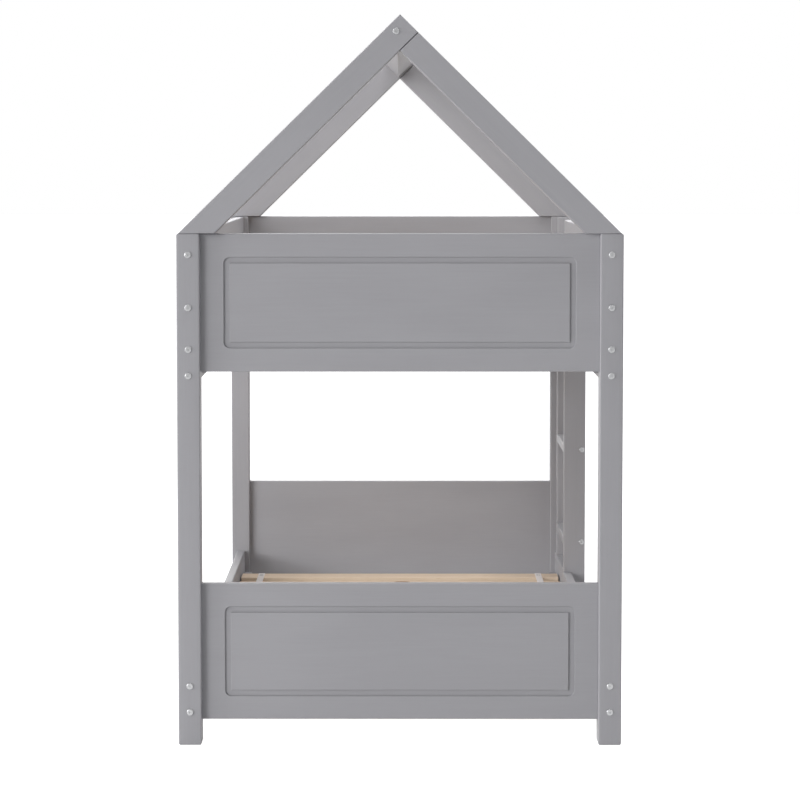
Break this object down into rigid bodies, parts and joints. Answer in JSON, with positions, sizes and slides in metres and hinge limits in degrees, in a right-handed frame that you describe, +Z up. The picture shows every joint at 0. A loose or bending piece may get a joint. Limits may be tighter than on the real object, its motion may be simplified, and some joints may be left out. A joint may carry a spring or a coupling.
{
  "type": "bunk bed",
  "caption": "House-shaped bunk bed in painted timber, with slatted decks, routed end panels, guard boards, a side ladder and a gabled roof frame.",
  "frame": {"origin": "on the floor, under the middle of the whole bed's box, ladder included", "axes": "+Z up, +Y along the bed from the near end to the far end, +X across it towards the ladder's side"},
  "size_m": [1.106, 1.9938, 1.7732],
  "materials": {
    "paint": "satin light-grey paint on solid timber",
    "pine": "bare sanded pine",
    "webbing": "woven off-white webbing",
    "steel": "zinc-plated furniture bolts"
  },
  "bodies": {
    "root": {"post_near_left": "paint", "post_near_right": "paint", "post_far_left": "paint", "post_far_right": "paint", "panel_near_lower": "paint", "panel_near_upper": "paint", "panel_far_lower": "paint", "panel_far_upper": "paint", "rail_left_lower": "paint", "rail_left_upper": "paint", "rail_right_lower": "paint", "rail_right_upper": "paint", "guard_left_top": "paint", "guard_left_middle": "paint", "guard_right_top": "paint", "guard_right_middle": "paint", "cleat_left_lower": "paint", "cleat_right_lower": "paint", "cleat_left_upper": "paint", "cleat_right_upper": "paint", "strap_left_lower": "webbing", "strap_right_lower": "webbing", "strap_left_upper": "webbing", "strap_right_upper": "webbing", "slat_lower_01": "pine", "slat_lower_02": "pine", "slat_lower_03": "pine", "slat_lower_04": "pine", "slat_lower_05": "pine", "slat_lower_06": "pine", "slat_lower_07": "pine", "slat_lower_08": "pine", "slat_lower_09": "pine", "slat_lower_10": "pine", "slat_lower_11": "pine", "slat_upper_01": "pine", "slat_upper_02": "pine", "slat_upper_03": "pine", "slat_upper_04": "pine", "slat_upper_05": "pine", "slat_upper_06": "pine", "slat_upper_07": "pine", "slat_upper_08": "pine", "slat_upper_09": "pine", "slat_upper_10": "pine", "slat_upper_11": "pine", "ladder_stile_near": "paint", "ladder_stile_far": "paint", "ladder_tread_1": "paint", "ladder_tread_2": "paint", "ladder_tread_3": "paint", "ridge_beam": "paint", "rafter_near_left": "paint", "rafter_near_right": "paint", "rafter_far_left": "paint", "rafter_far_right": "paint", "ridge_bolt_near": "steel", "ridge_bolt_far": "steel"}
  },
  "joints": []
}
